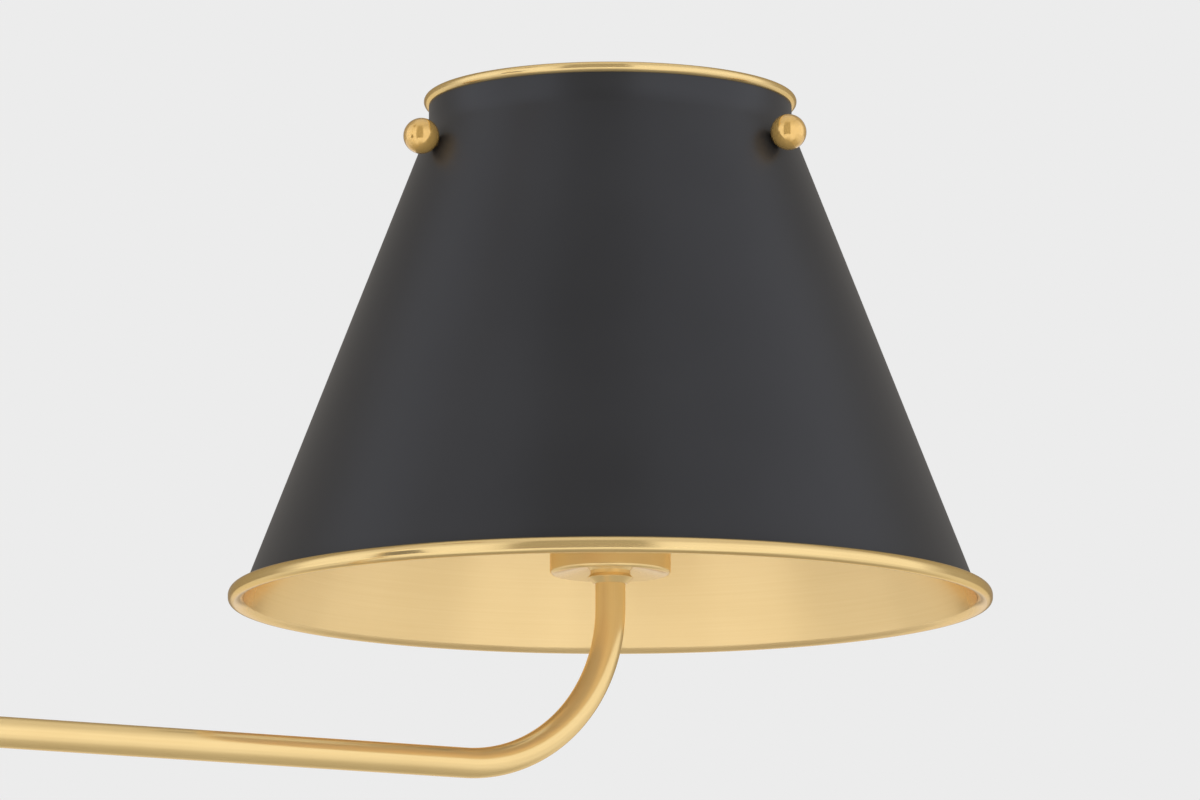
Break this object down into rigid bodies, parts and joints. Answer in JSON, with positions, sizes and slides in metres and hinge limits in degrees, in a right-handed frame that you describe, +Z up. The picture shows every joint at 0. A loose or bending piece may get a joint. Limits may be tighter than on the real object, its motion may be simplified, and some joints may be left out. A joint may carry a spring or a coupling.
{
  "type": "linear chandelier",
  "caption": "Linear chandelier: brass-lined black cone shades on bent brass tube arms, hung from a round ceiling canopy by a jointed stem that swivels and leans.",
  "frame": {"origin": "on the ceiling plane, at the middle of the crossbar's outlet box slots", "axes": "+Z up, +X along the arms towards the right shade, Y across the fixture"},
  "size_m": [1.1448, 0.3048, 0.7169],
  "materials": {
    "satin_brass": "satin brushed and lacquered",
    "lining_brass": "brushed round the axis",
    "socket_brass": "bright",
    "satin_black": "satin powder coat",
    "plated_steel": "zinc plated",
    "bulb_cap": "bright",
    "phenolic": "moulded",
    "bulb_glass": "frosted",
    "wire_jacket": "smooth",
    "splice_cap": "moulded",
    "green_screw": "enamelled"
  },
  "bodies": {
    "ceiling_mount": {"crossbar": "plated_steel", "canopy_studs": "plated_steel", "canopy": "satin_brass", "ground_screw": "green_screw", "swivel_nipple": "plated_steel", "swivel_locknut": "plated_steel"},
    "swivel": {"swivel_yoke": "satin_brass", "swivel_pins": "plated_steel"},
    "hanging_frame": {"swivel_knuckle": "satin_brass", "stem_upper": "satin_brass", "stem_coupling": "satin_brass", "stem_lower": "satin_brass", "stem_wires": "wire_jacket", "stem_ferrule": "satin_brass", "hub_ball": "satin_brass", "hub_finial": "satin_brass", "hub_splice": "splice_cap", "right_arm": "satin_brass", "right_arm_ferrule": "satin_brass", "right_arm_collar": "satin_brass", "right_arm_wires": "satin_brass", "right_cup_nipple": "plated_steel", "right_cup_nut": "plated_steel", "right_socket_cup": "satin_brass", "right_socket_body": "phenolic", "right_socket_shell": "socket_brass", "right_socket_contact": "socket_brass", "right_socket_ring_nut": "socket_brass", "right_spider": "plated_steel", "right_shade_shell": "satin_black", "right_shade_lining": "lining_brass", "right_shade_top_bead": "satin_brass", "left_arm": "satin_brass", "left_arm_ferrule": "satin_brass", "left_arm_collar": "satin_brass", "left_arm_wires": "satin_brass", "left_cup_nipple": "plated_steel", "left_cup_nut": "plated_steel", "left_socket_cup": "satin_brass", "left_socket_body": "phenolic", "left_socket_shell": "socket_brass", "left_socket_contact": "socket_brass", "left_socket_ring_nut": "socket_brass", "left_spider": "plated_steel", "left_shade_shell": "satin_black", "left_shade_lining": "lining_brass", "left_shade_top_bead": "satin_brass"},
    "right_canopy_nut": {"right_canopy_nut": "satin_brass"},
    "left_canopy_nut": {"left_canopy_nut": "satin_brass"},
    "right_bulb": {"right_bulb_base": "bulb_cap", "right_bulb_glass": "bulb_glass"},
    "right_ball_screw_1": {"right_ball_screw_1": "satin_brass"},
    "right_ball_screw_2": {"right_ball_screw_2": "satin_brass"},
    "right_ball_screw_3": {"right_ball_screw_3": "satin_brass"},
    "left_bulb": {"left_bulb_base": "bulb_cap", "left_bulb_glass": "bulb_glass"},
    "left_ball_screw_1": {"left_ball_screw_1": "satin_brass"},
    "left_ball_screw_2": {"left_ball_screw_2": "satin_brass"},
    "left_ball_screw_3": {"left_ball_screw_3": "satin_brass"}
  },
  "joints": [
    {"name": "swivel_turn", "type": "hinge", "parent": "ceiling_mount", "child": "swivel", "pos_m": [0, 0, -0.0384], "axis": [0, 0, 1], "range_deg": [-170, 170]},
    {"name": "stem_lean", "type": "hinge", "parent": "swivel", "child": "hanging_frame", "pos_m": [0, 0, -0.0384], "axis": [1, 0, 0], "range_deg": [-45, 45]},
    {"name": "right_canopy_nut_turn", "type": "hinge", "parent": "ceiling_mount", "child": "right_canopy_nut", "pos_m": [0.025, 0, -0.024], "axis": [0, 0, 1], "continuous": true},
    {"name": "left_canopy_nut_turn", "type": "hinge", "parent": "ceiling_mount", "child": "left_canopy_nut", "pos_m": [-0.025, 0, -0.024], "axis": [0, 0, 1], "continuous": true},
    {"name": "right_bulb_turn", "type": "hinge", "parent": "hanging_frame", "child": "right_bulb", "pos_m": [0.42, 0, -0.59759], "axis": [0, 0, 1], "continuous": true},
    {"name": "right_ball_screw_1_turn", "type": "hinge", "parent": "hanging_frame", "child": "right_ball_screw_1", "pos_m": [0.34224, 0.00407, -0.43249], "axis": [-0.9306, 0.0488, 0.3627], "continuous": true},
    {"name": "right_ball_screw_2_turn", "type": "hinge", "parent": "hanging_frame", "child": "right_ball_screw_2", "pos_m": [0.45535, -0.06938, -0.43249], "axis": [0.4231, -0.8303, 0.3627], "continuous": true},
    {"name": "right_ball_screw_3_turn", "type": "hinge", "parent": "hanging_frame", "child": "right_ball_screw_3", "pos_m": [0.46241, 0.0653, -0.43249], "axis": [0.5076, 0.7816, 0.3627], "continuous": true},
    {"name": "left_bulb_turn", "type": "hinge", "parent": "hanging_frame", "child": "left_bulb", "pos_m": [-0.42, 0, -0.59759], "axis": [0, 0, 1], "continuous": true},
    {"name": "left_ball_screw_1_turn", "type": "hinge", "parent": "hanging_frame", "child": "left_ball_screw_1", "pos_m": [-0.34224, -0.00407, -0.43249], "axis": [0.9306, -0.0488, 0.3627], "continuous": true},
    {"name": "left_ball_screw_2_turn", "type": "hinge", "parent": "hanging_frame", "child": "left_ball_screw_2", "pos_m": [-0.45535, 0.06938, -0.43249], "axis": [-0.4231, 0.8303, 0.3627], "continuous": true},
    {"name": "left_ball_screw_3_turn", "type": "hinge", "parent": "hanging_frame", "child": "left_ball_screw_3", "pos_m": [-0.46241, -0.0653, -0.43249], "axis": [-0.5076, -0.7816, 0.3627], "continuous": true}
  ]
}
